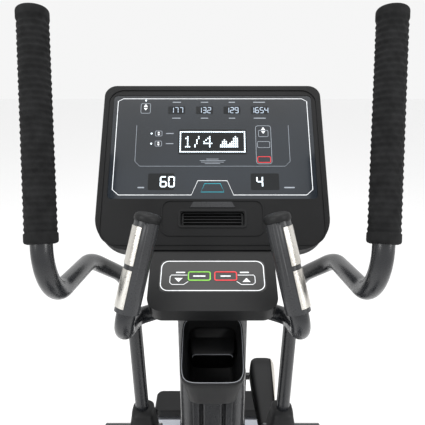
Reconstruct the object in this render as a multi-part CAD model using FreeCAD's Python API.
"""Front-drive elliptical trainer, in millimetres. +Z up, +Y towards the machine's front, user at -Y.

The origin is on the floor at the middle of the machine's length and width. The right side is +X.
Rest pose: cranks upright with the right one up, so both arms are at mid stroke.
"""
import FreeCAD
import Part
import math
import os

V = FreeCAD.Vector
X_AXIS = V(1, 0, 0)
SIDES = {"left": -1, "right": 1}

# ---- driving dimensions -------------------------------------------------------------------
LENGTH = 2160.0            # floor length, over both stabilizers
WIDTH = 700.0              # stabilizer length
STRIDE = 420.0             # pedal travel, twice the crank throw
TUBE_D = 32.0              # handle and handlebar tube
TUBE_WALL = 2.5
GRIP_D = 49.0              # foam grip on the moving handles
FLOOR_GAP = 50.0           # underside of the stabilizers above the floor
BEAM = 60.0                # square section of the spine and stabilizers
WALL = 3.0                 # beam wall
FRONT_BEAM_Y = LENGTH / 2 - BEAM - 60
FIT = 0.05                 # radial running clearance of a shaft in its hole
PASS = 1.0                 # gap between lanes that slide past each other

# lanes across the machine, as distances from the centre plane
HOUSING_X = 85.0
CRANK_LANE = (92.0, 114.0)
CRANK_PIN_END = 126.0
PEDAL_X = 170.0
PEDAL_TUBE = (40.0, 50.0)
END_COVER_LANE = (128.0, 212.0)
LINK_LANE = (222.0, 240.0)
SWING_LANE = (242.0, 268.0)
HANDLE_X = 170.0

# drive
CRANK_Y, CRANK_Z = 615.0, 380.0
CRANK_THROW = STRIDE / 2
AXLE_R = 12.5
PULLEY_R, SHEAVE_R = 130.0, 18.0
FLYWHEEL_Y, FLYWHEEL_Z, FLYWHEEL_R = 765.0, 310.0, 95.0
BELT_LANE = (30.0, 42.0)
FLYWHEEL_LANE = (-70.0, -30.0)
BELT_T = 3.0
HOUSING_R, HOUSING_WALL = 292.0, 4.0

# rails, rollers and pedal arms
RAIL_TOP, RAIL_D = 130.0, 40.0
RAIL_XS = (127.0, 213.0)
RAIL_Y = (-1075.0, -440.0)
ROLLER_R, ROLLER_W = 40.0, 30.0
ROLLER_AXLE_R = 10.0
ROLLER_Z = RAIL_TOP + ROLLER_R + 0.3
PEDAL_ARM = 1430.0         # roller axle to crank pin
PEDAL_AT = 470.0           # pedal centre from the roller axle
PEDAL_SIZE = (150.0, 380.0)
LINK_AT = 760.0            # link pin from the roller axle

# mast and swing arms
MAST_FOOT = (280.0, 105.0)
MAST_TOP = (140.0, 1250.0)
MAST_SIZE = (158.0, 96.0)
PIVOT_Z = 740.0
PIVOT_R = 15.0
SWING_ARM = 580.0          # pivot to the link pin
LINK_PIN_R = 8.0

# console, keypad and bottle holder: centre (y, z) and lean of the face from the vertical
CONSOLE = (168.0, 1453.0, 38.0)
CONSOLE_SIZE = (436.0, 343.0, 42.0)
KEYPAD = (20.0, 1290.0, 60.0)
KEYPAD_SIZE = (222.0, 142.0, 34.0)
HOLDER = (2.0, 1149.0, 65.0)
HOLDER_SIZE = (116.0, 137.0, 112.0)


# ---- building blocks ----------------------------------------------------------------------
def mast_y(z):
    """Centre line of the leaning mast at height z."""
    share = (z - MAST_FOOT[1]) / (MAST_TOP[1] - MAST_FOOT[1])
    return MAST_FOOT[0] + share * (MAST_TOP[0] - MAST_FOOT[0])


PIVOT_Y = mast_y(PIVOT_Z)


def block(x0, x1, y0, y1, z0, z1):
    return Part.makeBox(x1 - x0, y1 - y0, z1 - z0, V(x0, y0, z0))


def cyl(x0, x1, y, z, r):
    """A round bar along X."""
    return Part.makeCylinder(r, x1 - x0, V(x0, y, z), X_AXIS)


def post(x, y, z0, z1, r):
    return Part.makeCylinder(r, z1 - z0, V(x, y, z0))


def ring(x0, x1, y, z, outer, inner):
    return cyl(x0, x1, y, z, outer).cut(cyl(x0 - 1, x1 + 1, y, z, inner))


def rounded(shape, radius, direction):
    """Fillets the straight edges that run along one direction."""
    def along(edge):
        ends = edge.Vertexes
        if len(ends) != 2:
            return False
        line = ends[1].Point - ends[0].Point
        return line.Length > 1 and abs(line.normalize().dot(direction)) > 0.999
    return shape.makeFillet(radius, [e for e in shape.Edges if along(e)])


def one_side(low, high, side):
    """A lane given as distances from the centre plane, as ordered x values on one side."""
    return (low, high) if side > 0 else (-high, -low)


def bent_path(points, radii):
    """A wire of straight runs with a tangent arc at each inner point."""
    edges = []
    start = points[0]
    for before, corner, after, radius in zip(points, points[1:], points[2:], radii):
        back = (before - corner).normalize()
        on = (after - corner).normalize()
        half_turn = (math.pi - back.getAngle(on)) / 2
        cut = radius * math.tan(half_turn)
        a, b = corner + back * cut, corner + on * cut
        inward = (back + on).normalize()
        mid = corner + inward * (radius / math.cos(half_turn) - radius)
        edges.append(Part.LineSegment(start, a).toShape())
        edges.append(Part.Arc(a, mid, b).toShape())
        start = b
    edges.append(Part.LineSegment(start, points[-1]).toShape())
    return Part.Wire(edges)


def pipe(points, radii, r):
    path = bent_path(points, radii)
    circle = Part.Wire([Part.Circle(points[0], points[1] - points[0], r).toShape()])
    return path.makePipeShell([circle], True, True)


def bent_tube(points, radii, diameter=TUBE_D, wall=TUBE_WALL):
    return pipe(points, radii, diameter / 2).cut(pipe(points, radii, diameter / 2 - wall))


def rod_between(a, b, r):
    return Part.makeCylinder(r, (b - a).Length, a, b - a)


def rect_wire(x0, x1, z0, z1, y):
    return Part.makePolygon([V(x0, y, z0), V(x1, y, z0), V(x1, y, z1), V(x0, y, z1), V(x0, y, z0)])


def leaning(shape, placed):
    """Moves a piece drawn flat in the XZ plane, facing -Y, to a leaning face's centre."""
    y, z, lean = placed
    lean_there = FreeCAD.Placement(V(0, y, z), FreeCAD.Rotation(X_AXIS, -lean))
    shape.Placement = lean_there.multiply(shape.Placement)
    return shape


def face_plate(size, depth, placed, corner_low, corner_high, front=0.0):
    """A plate with rounded corners in a leaning face, from `front` back by `depth`."""
    w, h = size[0] / 2, size[1] / 2
    lo, hi, k = corner_low, corner_high, math.sqrt(0.5)

    def arc(cx, cz, r, sx, sz, first):
        across = V(cx + sx * r, 0, cz)
        up = V(cx, 0, cz + sz * r)
        mid = V(cx + sx * r * k, 0, cz + sz * r * k)
        ends = (across, up) if first == "across" else (up, across)
        return Part.Arc(ends[0], mid, ends[1]).toShape()
    arcs = [arc(w - hi, h - hi, hi, 1, 1, "across"), arc(-w + hi, h - hi, hi, -1, 1, "up"),
            arc(-w + lo, -h + lo, lo, -1, -1, "across"), arc(w - lo, -h + lo, lo, 1, -1, "up")]
    edges = []
    for this, following in zip(arcs, arcs[1:] + arcs[:1]):
        edges.append(this)
        a, b = this.valueAt(this.LastParameter), following.valueAt(following.FirstParameter)
        edges.append(Part.LineSegment(a, b).toShape())
    outline = Part.Wire(edges)
    plate = Part.Face(outline).extrude(V(0, depth, 0))
    plate.translate(V(0, front, 0))
    return leaning(plate, placed)


def belt_outline(r1, r2, x0, x1):
    """The solid inside a belt that runs round the crank pulley and the flywheel sheave."""
    c1, c2 = V(x0, CRANK_Y, CRANK_Z), V(x0, FLYWHEEL_Y, FLYWHEEL_Z)
    line = c2 - c1
    spread = math.acos((r1 - r2) / line.Length)
    heading = math.atan2(line.z, line.y)

    def at(centre, r, angle):
        return centre + V(0, r * math.cos(angle), r * math.sin(angle))
    up, down = heading + spread, heading - spread
    edges = [
        Part.Arc(at(c1, r1, up), at(c1, r1, heading + math.pi), at(c1, r1, down)).toShape(),
        Part.LineSegment(at(c1, r1, down), at(c2, r2, down)).toShape(),
        Part.Arc(at(c2, r2, down), at(c2, r2, heading), at(c2, r2, up)).toShape(),
        Part.LineSegment(at(c2, r2, up), at(c1, r1, up)).toShape()]
    return Part.Face(Part.Wire(edges)).extrude(V(x1 - x0, 0, 0))


# ---- base ---------------------------------------------------------------------------------
def base_nodes():
    nodes = {}
    half, end = WIDTH / 2, LENGTH / 2
    low, high = FLOOR_GAP, FLOOR_GAP + BEAM * 2 / 3
    spine_top = MAST_FOOT[1]
    front_y, rear_y = FRONT_BEAM_Y, -end
    spine = rounded(block(-30, 30, rear_y + BEAM, front_y, spine_top - BEAM, spine_top), 8, V(0, 1, 0))
    core = block(-30 + WALL, 30 - WALL, rear_y + BEAM - 1, front_y + 1,
                 spine_top - BEAM + WALL, spine_top - WALL)
    nodes["main_spine"] = spine.cut(core)
    cap = 8.0
    for name, y in (("front_stabilizer", front_y), ("rear_stabilizer", rear_y)):
        beam = rounded(block(-half + cap, half - cap, y, y + BEAM, low, high), 8, X_AXIS)
        nodes[name] = beam.cut(block(-half, half, y + WALL, y + BEAM - WALL, low + WALL, high - WALL))
    nodes["stabilizer_end_caps"] = Part.Compound([
        rounded(block(*one_side(half - cap, half, s), y, y + BEAM, low, high), 8, X_AXIS)
        for s in (-1, 1) for y in (front_y, rear_y)])
    cross = block(-240, 240, RAIL_Y[1] - 40, RAIL_Y[1] - 5, low, high - 6)
    cross = cross.cut(block(-30, 30, -600, -400, 40, 120))
    rail_z = RAIL_TOP - RAIL_D / 2
    rails, brackets = [], []
    for x in [s * r for s in (-1, 1) for r in RAIL_XS]:
        bar = Part.makeCylinder(RAIL_D / 2, RAIL_Y[1] - RAIL_Y[0], V(x, RAIL_Y[0], rail_z), V(0, 1, 0))
        core = Part.makeCylinder(RAIL_D / 2 - 3, RAIL_Y[1] - RAIL_Y[0] + 2,
                                 V(x, RAIL_Y[0] - 1, rail_z), V(0, 1, 0))
        rails.append(bar.cut(core))
        for y, top in ((rear_y + 12, high), (RAIL_Y[1] - 38, high - 6)):
            saddle = block(x - 18, x + 18, y, y + 30, top, rail_z - 4)
            brackets.append(saddle.cut(bar))
    nodes["rails"] = Part.Compound(rails)
    nodes["rail_supports"] = Part.Compound(cross.Solids + brackets)
    feet = []
    for x in (-300, 300):
        for y in (front_y + BEAM / 2, rear_y + BEAM / 2):
            feet.append(post(x, y, 0, 14, 28).fuse(post(x, y, 14, low, 8)))
    nodes["levelling_feet"] = Part.Compound(feet)
    hood = block(-258, 258, front_y - 10, end, high, high + 44)
    hood = rounded(rounded(hood, 30, V(0, 0, 1)), 12, X_AXIS)
    inner = block(-252, 252, front_y - 4, end - 6, high - 1, high + 38)
    nodes["front_cover"] = hood.cut(inner).cut(block(-30, 30, 0, front_y + 1, 0, spine_top))
    trim = block(-240, 240, front_y - 20, front_y, low + 8, high - 2)
    nodes["front_plate"] = trim.cut(block(-30, 30, 0, front_y + 1, 0, spine_top))
    return nodes


def transport_wheel(side):
    y = LENGTH / 2 - 28
    z = 34.0
    x0, x1 = one_side(150, 176, side)
    return ring(x0, x1, y, z, 26, 7).fuse(ring(x0 + 8, x1 - 8, y, z, 28, 24))


def wheel_axle(side):
    """Two ears on the front stabilizer with a fixed pin between them."""
    y, z = LENGTH / 2 - 28, 34.0
    ears = [block(*one_side(x, x + 8, side), FRONT_BEAM_Y + BEAM, y + 14, z - 14, FLOOR_GAP + 34)
            for x in (140, 178)]
    return ears[0].fuse([ears[1], cyl(*one_side(140, 186, side), y, z, 7 - FIT)])


# ---- drive --------------------------------------------------------------------------------
def housing_half(side):
    x0, x1 = one_side(0, HOUSING_X, side)
    floor = MAST_FOOT[1]
    shell = cyl(x0, x1, CRANK_Y, CRANK_Z, HOUSING_R)
    wall_x = (x0, x1 - HOUSING_WALL) if side > 0 else (x0 + HOUSING_WALL, x1)
    shell = shell.cut(cyl(*wall_x, CRANK_Y, CRANK_Z, HOUSING_R - HOUSING_WALL))
    shell = shell.cut(block(-200, 200, 0, 1200, 0, floor))
    return shell.cut(cyl(-200, 200, CRANK_Y, CRANK_Z, 24))


def drive_nodes():
    nodes = {f"drive_housing_{name}": housing_half(side) for name, side in SIDES.items()}
    floor = MAST_FOOT[1]
    column = block(-22, 22, CRANK_Y - 34, CRANK_Y + 34, floor, CRANK_Z)
    arm = block(-22, 22, CRANK_Y, FLYWHEEL_Y + 24, FLYWHEEL_Z - 22, FLYWHEEL_Z + 22)
    frame = column.fuse([arm, cyl(-22, 22, CRANK_Y, CRANK_Z, 34)])
    frame = frame.cut(cyl(-23, 23, CRANK_Y, CRANK_Z, 24)).cut(cyl(-23, 23, FLYWHEEL_Y, FLYWHEEL_Z, 8 + FIT))
    nodes["drive_post"] = frame.removeSplitter()
    nodes["crank_bearings"] = Part.Compound(
        [ring(x, x + 14, CRANK_Y, CRANK_Z, 24, AXLE_R + FIT) for x in (-20, 6)])
    outer = belt_outline(PULLEY_R + BELT_T + 0.2, SHEAVE_R + BELT_T + 0.2, *BELT_LANE)
    inner = belt_outline(PULLEY_R + 0.2, SHEAVE_R + 0.2, *BELT_LANE)
    nodes["drive_belt"] = outer.cut(inner)
    shoe = ring(FLYWHEEL_LANE[0], -22, FLYWHEEL_Y, FLYWHEEL_Z, FLYWHEEL_R + 14, FLYWHEEL_R + 3)
    below = block(-200, 200, FLYWHEEL_Y - 55, FLYWHEEL_Y + 55, 0, FLYWHEEL_Z - 60)
    hanger = block(-28, -22, FLYWHEEL_Y - 12, FLYWHEEL_Y + 12,
                   FLYWHEEL_Z - FLYWHEEL_R - 8, FLYWHEEL_Z - 10)
    nodes["brake_magnet"] = shoe.common(below).fuse(hanger)
    return nodes


def crank_nodes():
    nodes = {"crank_axle": cyl(-CRANK_LANE[1], CRANK_LANE[1], CRANK_Y, CRANK_Z, AXLE_R)}
    disc = cyl(*BELT_LANE, CRANK_Y, CRANK_Z, PULLEY_R)
    windows = [cyl(0, 60, CRANK_Y + 82 * math.cos(a), CRANK_Z + 82 * math.sin(a), 26)
               for a in [math.radians(60 * n) for n in range(6)]]
    nodes["crank_pulley"] = disc.cut(windows).cut(cyl(0, 60, CRANK_Y, CRANK_Z, AXLE_R))
    for name, side in SIDES.items():
        pin_z = CRANK_Z + side * CRANK_THROW
        x0, x1 = one_side(*CRANK_LANE, side)
        low, high = sorted((CRANK_Z, pin_z))
        bar = block(x0, x1, CRANK_Y - 20, CRANK_Y + 20, low, high)
        bar = bar.fuse([cyl(x0, x1, CRANK_Y, CRANK_Z, 34), cyl(x0, x1, CRANK_Y, pin_z, 28)])
        bar = bar.fuse(cyl(*one_side(CRANK_LANE[1] - 1, CRANK_PIN_END, side), CRANK_Y, pin_z, 12))
        nodes[f"crank_arm_{name}"] = bar.cut(cyl(-150, 150, CRANK_Y, CRANK_Z, AXLE_R)).removeSplitter()
    return nodes


def flywheel():
    disc = ring(*FLYWHEEL_LANE, FLYWHEEL_Y, FLYWHEEL_Z, FLYWHEEL_R, 7)
    hollow = ring(FLYWHEEL_LANE[0] - 1, FLYWHEEL_LANE[0] + 12, FLYWHEEL_Y, FLYWHEEL_Z, 70, 24)
    shaft = cyl(FLYWHEEL_LANE[0] - 6, BELT_LANE[1] + 4, FLYWHEEL_Y, FLYWHEEL_Z, 8)
    sheave = cyl(*BELT_LANE, FLYWHEEL_Y, FLYWHEEL_Z, SHEAVE_R)
    return disc.cut(hollow).fuse([shaft, sheave]).removeSplitter()


# ---- rollers and pedal arms ---------------------------------------------------------------
def pedal_rest(side):
    """Roller axle y and pedal arm slope in degrees with this side's crank upright."""
    rise = CRANK_Z + side * CRANK_THROW - ROLLER_Z
    return CRANK_Y - math.sqrt(PEDAL_ARM ** 2 - rise ** 2), math.degrees(math.asin(rise / PEDAL_ARM))


def on_arm(shape, side):
    """Moves a piece drawn along +Y from the roller axle to its pedal arm."""
    y, slope = pedal_rest(side)
    shape.Placement = FreeCAD.Placement(V(0, y, ROLLER_Z), FreeCAD.Rotation(X_AXIS, slope))
    return shape


def roller_nodes(name, side):
    y = pedal_rest(side)[0]
    axle = cyl(*one_side(RAIL_XS[0] - 17, RAIL_XS[1] + 17, side), y, ROLLER_Z, ROLLER_AXLE_R)
    heads = [cyl(*one_side(x, x + 6, side), y, ROLLER_Z, 15) for x in (RAIL_XS[0] - 23, RAIL_XS[1] + 17)]
    wheels = [ring(*one_side(x - ROLLER_W / 2, x + ROLLER_W / 2, side), y, ROLLER_Z, ROLLER_R,
                   ROLLER_AXLE_R + FIT) for x in RAIL_XS]
    return {f"roller_axle_{name}": axle.fuse(heads), f"rollers_{name}": Part.Compound(wheels)}


def pedal_nodes(name, side):
    half_x, half_z = PEDAL_TUBE[0] / 2, PEDAL_TUBE[1] / 2
    lane = one_side(PEDAL_X - half_x, PEDAL_X + half_x, side)
    tube = block(*lane, 10, PEDAL_ARM, -half_z, half_z)
    tube = tube.cut(block(lane[0] + 3, lane[1] - 3, 40, PEDAL_ARM - 40, -half_z + 3, half_z - 3))
    tube = tube.fuse([cyl(*lane, 0, 0, 27), cyl(*one_side(END_COVER_LANE[0] + 6, PEDAL_X + half_x, side),
                                                PEDAL_ARM, 0, 32)])
    link_pin = cyl(*one_side(PEDAL_X + half_x, LINK_LANE[0] - PASS, side), LINK_AT, 0, LINK_PIN_R + 6)
    tube = tube.fuse(link_pin)
    tube = tube.cut(cyl(-300, 300, 0, 0, ROLLER_AXLE_R + FIT)).cut(cyl(-300, 300, PEDAL_ARM, 0, 13))

    wide, long = PEDAL_SIZE
    p0, p1 = one_side(PEDAL_X - wide / 2, PEDAL_X + wide / 2, side)
    y0, y1 = PEDAL_AT - long / 2, PEDAL_AT + long / 2
    tray = rounded(block(p0, p1, y0, y1, half_z + 16, half_z + 50), 32, V(0, 0, 1))
    well = rounded(block(p0 + 7, p1 - 7, y0 - 60, y1 - 7, half_z + 26, half_z + 60), 20, V(0, 0, 1))
    ribs = block(PEDAL_X * side - 20, PEDAL_X * side + 20, y0 + 40, y1 - 40, half_z, half_z + 16)
    tray = tray.cut(well).fuse(ribs)

    c0, c1 = one_side(*END_COVER_LANE, side)
    outer = Part.makeLoft([rect_wire(lane[0] - 4, lane[1] + 4, -half_z - 4, half_z + 4, PEDAL_ARM - 190),
                           rect_wire(c0, c1, -50, 50, PEDAL_ARM + 20),
                           rect_wire(c0 + 8, c1 - 8, -40, 40, PEDAL_ARM + 52)], True, True)
    inner = Part.makeLoft([rect_wire(lane[0], lane[1], -half_z, half_z, PEDAL_ARM - 191),
                           rect_wire(c0 + 4, c1 - 4, -46, 46, PEDAL_ARM + 20),
                           rect_wire(c0 + 12, c1 - 12, -36, 36, PEDAL_ARM + 48)], True, True)
    cover = outer.cut(inner).cut(cyl(*one_side(100, PEDAL_X, side), PEDAL_ARM, 0, 33)).cut(tube)
    made = {"pedal_arm": tube.removeSplitter(), "pedal": tray.removeSplitter(), "crank_end_cover": cover}
    return {f"{node}_{name}": on_arm(shape, side) for node, shape in made.items()}


# ---- mast, swing arms and links -----------------------------------------------------------
def mast():
    w, d = MAST_SIZE[0] / 2, MAST_SIZE[1] / 2
    bottom, top = MAST_FOOT, MAST_TOP

    def section(y, z, w, d):
        corner = [V(-w, y - d, z), V(w, y - d, z), V(w, y + d, z), V(-w, y + d, z), V(-w, y - d, z)]
        return Part.makePolygon(corner)
    outer = mast_rounded()
    inner = Part.makeLoft([section(bottom[0], bottom[1] + 6, w - 10, d - 10),
                           section(top[0], top[1] - 6, w - 16, d - 16)], True, True)
    flutes = [Part.makeCylinder(4, 1300, V(x, bottom[0] - d + 1.5, bottom[1]),
                                V(0, top[0] - bottom[0] + 6, top[1] - bottom[1])) for x in (-26, 26)]
    return outer.cut(inner).cut(flutes).cut(cyl(-200, 200, PIVOT_Y, PIVOT_Z, PIVOT_R))


def handle_points(side):
    """Centre line of a moving handle, from the pivot to the grip's top."""
    return [V(side * 170, PIVOT_Y, 762), V(side * 182, 215, 1180), V(side * 237, 110, 1275),
            V(side * 240, -135, 1318), V(side * 267, 38, 1711)]


def swing_nodes(name, side):
    points = handle_points(side)
    hub_lane = one_side(128, SWING_LANE[1], side)
    hub = ring(*hub_lane, PIVOT_Y, PIVOT_Z, 32, PIVOT_R + FIT)
    low_z = PIVOT_Z - SWING_ARM
    leg = block(*one_side(*SWING_LANE, side), PIVOT_Y - 20, PIVOT_Y + 20, low_z, PIVOT_Z)
    foot = cyl(*one_side(*SWING_LANE, side), PIVOT_Y, low_z, 26)
    pin = cyl(*one_side(LINK_LANE[0], SWING_LANE[0] + 2, side), PIVOT_Y, low_z, LINK_PIN_R)
    arm = leg.fuse([foot, pin]).cut(cyl(-300, 300, PIVOT_Y, PIVOT_Z, PIVOT_R + FIT))
    arm = arm.fuse(hub).removeSplitter()
    tube = bent_tube(points, (120, 85, 70)).cut(cyl(-300, 300, PIVOT_Y, PIVOT_Z, 32))
    end, before = points[-1], points[-2]
    along = (end - before).normalize()
    grip_start = end - along * 340
    grip = rod_between(grip_start, end + along * 8, GRIP_D / 2)
    grip = grip.cut(rod_between(grip_start - along, end, TUBE_D / 2))
    x = side * HANDLE_X
    shell = Part.makeLoft([
        Part.makePolygon([V(x - a, PIVOT_Y - b, z), V(x + a, PIVOT_Y - b, z), V(x + a, PIVOT_Y + b, z),
                          V(x - a, PIVOT_Y + b, z), V(x - a, PIVOT_Y - b, z)])
        for a, b, z in ((34, 40, 700), (36, 42, 760), (23, 24, 832))], True, True)
    up_tube = (points[1] - points[0]).normalize()
    solid_tube = rod_between(points[0] - up_tube * 30, points[1], TUBE_D / 2)
    cover = shell.cut(cyl(-300, 300, PIVOT_Y, PIVOT_Z, 32)).cut(solid_tube)
    return {f"swing_arm_{name}": arm, f"handle_tube_{name}": tube, f"grip_{name}": grip,
            f"arm_cover_{name}": cover}


def link_ends(side):
    """Front eye on the swing arm and rear eye beside the pedal arm."""
    y, slope = pedal_rest(side)
    angle = math.radians(slope)
    rear = V(0, y + LINK_AT * math.cos(angle), ROLLER_Z + LINK_AT * math.sin(angle))
    return V(0, PIVOT_Y, PIVOT_Z - SWING_ARM), rear


def link(side):
    front, rear = link_ends(side)
    lane = one_side(*LINK_LANE, side)
    x = sum(lane) / 2
    bar = rod_between(V(x, front.y, front.z), V(x, rear.y, rear.z), 8.5)
    eyes = [cyl(*lane, p.y, p.z, 20) for p in (front, rear)]
    return bar.fuse(eyes).cut(cyl(-300, 300, front.y, front.z, LINK_PIN_R + FIT)).removeSplitter()


def handlebar_nodes(name, side):
    points = [V(side * 50, 104, 1186), V(side * 144, 50, 1185), V(side * 146, -75, 1232),
              V(side * 103, -20, 1408)]
    tube = bent_tube(points, (38, 38)).cut(mast_rounded())
    end, before = points[-1], points[-2]
    along = (end - before).normalize()
    start = end - along * 152
    sleeve = rod_between(start, end + along * 6, TUBE_D / 2 + 4.5)
    sleeve = sleeve.cut(rod_between(start - along, end, TUBE_D / 2))
    plates = []
    facing = V(side * 0.8, -0.6, 0)
    outward = facing - along * facing.dot(along)
    outward.normalize()
    for a, b in ((8, 70), (78, 140)):
        skin = rod_between(start + along * a, start + along * b, TUBE_D / 2 + 5.8)
        skin = skin.cut(rod_between(start, end, TUBE_D / 2 + 4.5))
        keep = rod_between(start + outward * 26, end + outward * 26, 18)
        plates.append(skin.common(keep))
    return {f"handlebar_{name}": tube, f"sensor_grip_{name}": sleeve}, plates


# ---- console ------------------------------------------------------------------------------
def console_nodes():
    nodes = {}
    w, h, depth = CONSOLE_SIZE
    back = face_plate((w, h), depth - 14, CONSOLE, 62, 24, 14)
    back_hollow = face_plate((w - 8, h - 8), depth - 22, CONSOLE, 58, 20, 14)
    nodes["console_back"] = back.cut(back_hollow)
    bezel = face_plate((w, h), 14, CONSOLE, 62, 24, 0)
    glass_centre = 38.0
    up = V(0, math.sin(math.radians(CONSOLE[2])), math.cos(math.radians(CONSOLE[2])))
    glass_at = (CONSOLE[0] + up.y * glass_centre, CONSOLE[1] + up.z * glass_centre, CONSOLE[2])
    window = face_plate((398, 222), 6, glass_at, 8, 8, 0)
    fan_at = (CONSOLE[0] - up.y * 112, CONSOLE[1] - up.z * 112, CONSOLE[2])
    fan_hole = face_plate((118, 26), 14, fan_at, 5, 5, 0)
    nodes["console_bezel"] = bezel.cut(window).cut(fan_hole)
    nodes["display_glass"] = face_plate((397.6, 221.6), 5, glass_at, 7.8, 7.8, 1)
    nodes["circuit_board"] = face_plate((360, 190), 3, glass_at, 4, 4, 20)
    grille = face_plate((117.6, 25.6), 8, fan_at, 4.8, 4.8, 5)
    for n in range(4):
        offset = -9 + 6 * n
        at = (fan_at[0] + up.y * offset, fan_at[1] + up.z * offset, CONSOLE[2])
        grille = grille.cut(face_plate((108, 3), 10, at, 1.2, 1.2, 4))
    nodes["fan_grille"] = grille

    keypad = face_plate(KEYPAD_SIZE[:2], KEYPAD_SIZE[2], KEYPAD, 26, 12, 0)
    recess = face_plate((186, 66), 2, lower(KEYPAD, -2), 12, 12, 0)
    hollow = face_plate((206, 126), 20, KEYPAD, 22, 8, 8)
    console_block = face_plate((w, h), depth, CONSOLE, 62, 24, 0)
    holder_room = face_plate(HOLDER_SIZE[:2], HOLDER_SIZE[2], HOLDER, 20, 20, 0)
    nodes["keypad_housing"] = keypad.cut(recess).cut(hollow).cut(console_block).cut(holder_room)
    nodes["keypad_panel"] = face_plate((185.6, 65.6), 1.6, lower(KEYPAD, -2), 11.8, 11.8, 0.4)
    neck = block(-60, 60, 80, 186, MAST_TOP[1], 1430)
    before_console = face_plate((w, h * 2), depth + 200, CONSOLE, 62, 24, -200)
    nodes["console_neck"] = neck.cut(before_console).cut(keypad)

    wide, tall, deep = HOLDER_SIZE
    cup = Part.makeLoft([rounded_wire(wide, tall, 26, 0), rounded_wire(wide - 22, tall - 30, 22, deep)],
                        True, True)
    well = Part.makeLoft([rounded_wire(wide - 9, tall - 9, 22, -1),
                          rounded_wire(wide - 31, tall - 39, 18, deep - 5)], True, True)
    cup, well = leaning(cup, HOLDER), leaning(well, HOLDER)
    bridge = block(-48, 48, 40, 150, 1058, 1160)
    nodes["bottle_holder"] = cup.fuse(bridge).cut([well, mast_outer(), keypad]).removeSplitter()
    return nodes


def lower(placed, distance):
    """The same leaning face with its centre moved along the slope."""
    y, z, lean = placed
    angle = math.radians(lean)
    return (y + distance * math.sin(angle), z + distance * math.cos(angle), lean)


def rounded_wire(w, h, r, depth):
    flat = rounded(block(-w / 2, w / 2, 0, 4, -h / 2, h / 2), r, V(0, 1, 0))
    low = min(flat.Faces, key=lambda f: f.CenterOfMass.y)
    wire = low.OuterWire
    wire.translate(V(0, depth, 0))
    return wire


def mast_outer():
    w, d = MAST_SIZE[0] / 2, MAST_SIZE[1] / 2
    wires = []
    for y, z, shrink in ((MAST_FOOT[0], MAST_FOOT[1], 0), (MAST_TOP[0], MAST_TOP[1], 6)):
        a, b = w - shrink, d - shrink
        wires.append(Part.makePolygon([V(-a, y - b, z), V(a, y - b, z), V(a, y + b, z), V(-a, y + b, z),
                                       V(-a, y - b, z)]))
    return Part.makeLoft(wires, True, True)


def mast_rounded():
    outer = mast_outer()
    return outer.makeFillet(28, [e for e in outer.Edges if e.Length > 500])


def pivot_nodes():
    end = SWING_LANE[1] + 1
    axle = cyl(-end, end, PIVOT_Y, PIVOT_Z, PIVOT_R)
    caps = [cyl(*one_side(end, end + 9, s), PIVOT_Y, PIVOT_Z, 26) for s in (-1, 1)]
    collars = [ring(*one_side(MAST_SIZE[0] / 2 - 2, 126, s), PIVOT_Y, PIVOT_Z, 24, PIVOT_R)
               .cut(mast_outer()) for s in (-1, 1)]
    return {"pivot_axle": axle, "pivot_collars": Part.Compound(collars + caps)}


def build():
    nodes = {"mast": mast()}
    for made in (base_nodes(), drive_nodes(), crank_nodes(), console_nodes(), pivot_nodes()):
        nodes.update(made)
    nodes["flywheel"] = flywheel()
    plates = []
    axles = []
    for name, side in SIDES.items():
        nodes.update(roller_nodes(name, side))
        nodes.update(pedal_nodes(name, side))
        nodes.update(swing_nodes(name, side))
        bars, skins = handlebar_nodes(name, side)
        nodes.update(bars)
        plates += skins
        nodes[f"link_{name}"] = link(side)
        nodes[f"transport_wheel_{name}"] = transport_wheel(side)
        axles.append(wheel_axle(side))
    nodes["sensor_plates"] = Part.Compound(plates)
    nodes["transport_axles"] = Part.Compound(axles)
    return nodes


os.makedirs("parts", exist_ok=True)
parts = build()
for node, shape in parts.items():
    valid = all(s.isValid() and s.Volume > 0 for s in shape.Solids)
    if not valid or not shape.Solids:
        print("BAD", node, len(shape.Solids), shape.isValid())
    shape.exportStep(f"parts/{node}.step")
box = Part.Compound(list(parts.values())).BoundBox
print(len(parts), "nodes; box", [round(v, 2) for v in (box.XMin, box.XMax, box.YMin, box.YMax, box.ZMin, box.ZMax)])
